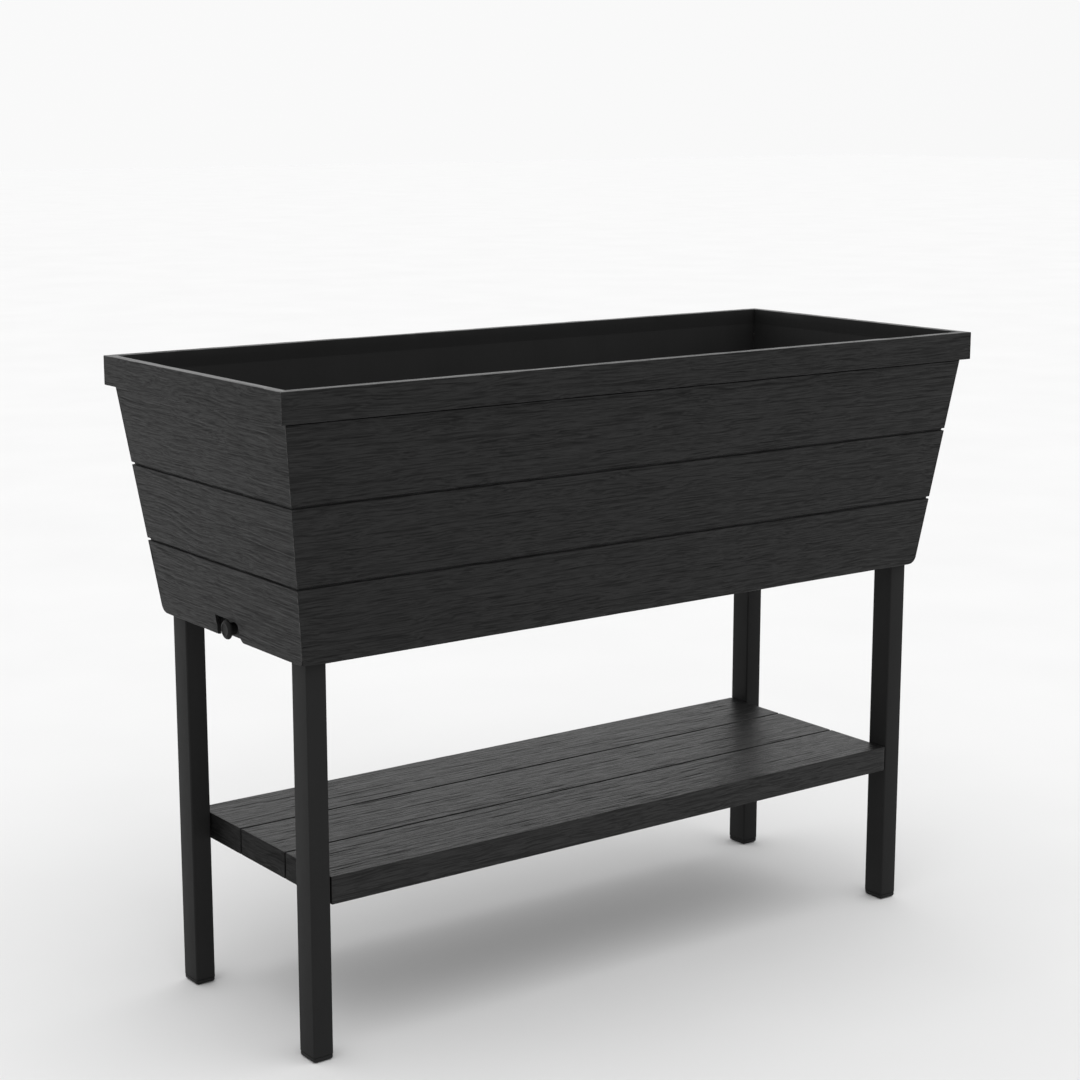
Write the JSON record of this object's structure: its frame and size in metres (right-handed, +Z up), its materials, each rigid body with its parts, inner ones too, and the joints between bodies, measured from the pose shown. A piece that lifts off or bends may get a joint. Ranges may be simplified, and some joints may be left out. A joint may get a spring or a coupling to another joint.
{
  "type": "raised planter on legs",
  "caption": "Long tapered planter box with leaning plank-look walls and a turned-out rim, on tube legs with a slatted lower shelf and a screw-out drain cap at one end.",
  "frame": {"origin": "on the ground, at the middle of the planter's length and width", "axes": "+X along the length towards the end without the drain, +Y to the back, +Z up"},
  "size_m": [1.0058, 0.4124, 0.76],
  "materials": {
    "grained_resin": "charcoal resin embossed with long wood grain, satin",
    "shelf_resin": "charcoal resin embossed with wood grain and fine checks, semi-gloss",
    "smooth_resin": "plain charcoal resin, satin",
    "inner_resin": "plain charcoal resin, matte, moulded",
    "steel": "zinc-plated steel screw",
    "rubber": "black rubber washer"
  },
  "bodies": {
    "planter": {"front_panel": "grained_resin", "back_panel": "grained_resin", "left_end_panel": "grained_resin", "right_end_panel": "grained_resin", "base_tray": "inner_resin", "drain_strainer": "inner_resin", "leg_front_left": "smooth_resin", "foot_front_left": "smooth_resin", "leg_screw_front_left": "steel", "shelf_peg_front_left": "inner_resin", "corner_bracket_front_left": "inner_resin", "bracket_screw_front_left_1": "steel", "bracket_screw_front_left_2": "steel", "bracket_screw_front_left_3": "steel", "bracket_screw_front_left_4": "steel", "leg_front_right": "smooth_resin", "foot_front_right": "smooth_resin", "leg_screw_front_right": "steel", "shelf_peg_front_right": "inner_resin", "corner_bracket_front_right": "inner_resin", "bracket_screw_front_right_1": "steel", "bracket_screw_front_right_2": "steel", "bracket_screw_front_right_3": "steel", "bracket_screw_front_right_4": "steel", "leg_back_left": "smooth_resin", "foot_back_left": "smooth_resin", "leg_screw_back_left": "steel", "shelf_peg_back_left": "inner_resin", "corner_bracket_back_left": "inner_resin", "bracket_screw_back_left_1": "steel", "bracket_screw_back_left_2": "steel", "bracket_screw_back_left_3": "steel", "bracket_screw_back_left_4": "steel", "leg_back_right": "smooth_resin", "foot_back_right": "smooth_resin", "leg_screw_back_right": "steel", "shelf_peg_back_right": "inner_resin", "corner_bracket_back_right": "inner_resin", "bracket_screw_back_right_1": "steel", "bracket_screw_back_right_2": "steel", "bracket_screw_back_right_3": "steel", "bracket_screw_back_right_4": "steel", "shelf_slat_front": "shelf_resin", "shelf_slat_middle": "shelf_resin", "shelf_slat_back": "shelf_resin", "shelf_crossbar_left": "inner_resin", "shelf_screw_front_left": "steel", "shelf_screw_middle_left": "steel", "shelf_screw_back_left": "steel", "shelf_crossbar_right": "inner_resin", "shelf_screw_front_right": "steel", "shelf_screw_middle_right": "steel", "shelf_screw_back_right": "steel"},
    "washer": {"drain_washer": "rubber"},
    "knob": {"drain_knob": "smooth_resin"}
  },
  "joints": [
    {"name": "drain_cap_travel", "type": "slide", "parent": "planter", "child": "washer", "axis": [-1, 0, 0], "range_m": [0, 0.006]},
    {"name": "drain_knob_turn", "type": "hinge", "parent": "washer", "child": "knob", "pos_m": [-0.4585, 0, 0.4675], "axis": [-1, 0, 0], "range_deg": [0, 720]}
  ],
  "couplings": [
    {"joint": "drain_cap_travel", "follows": "drain_knob_turn", "m_per_rad": 0.000477}
  ]
}
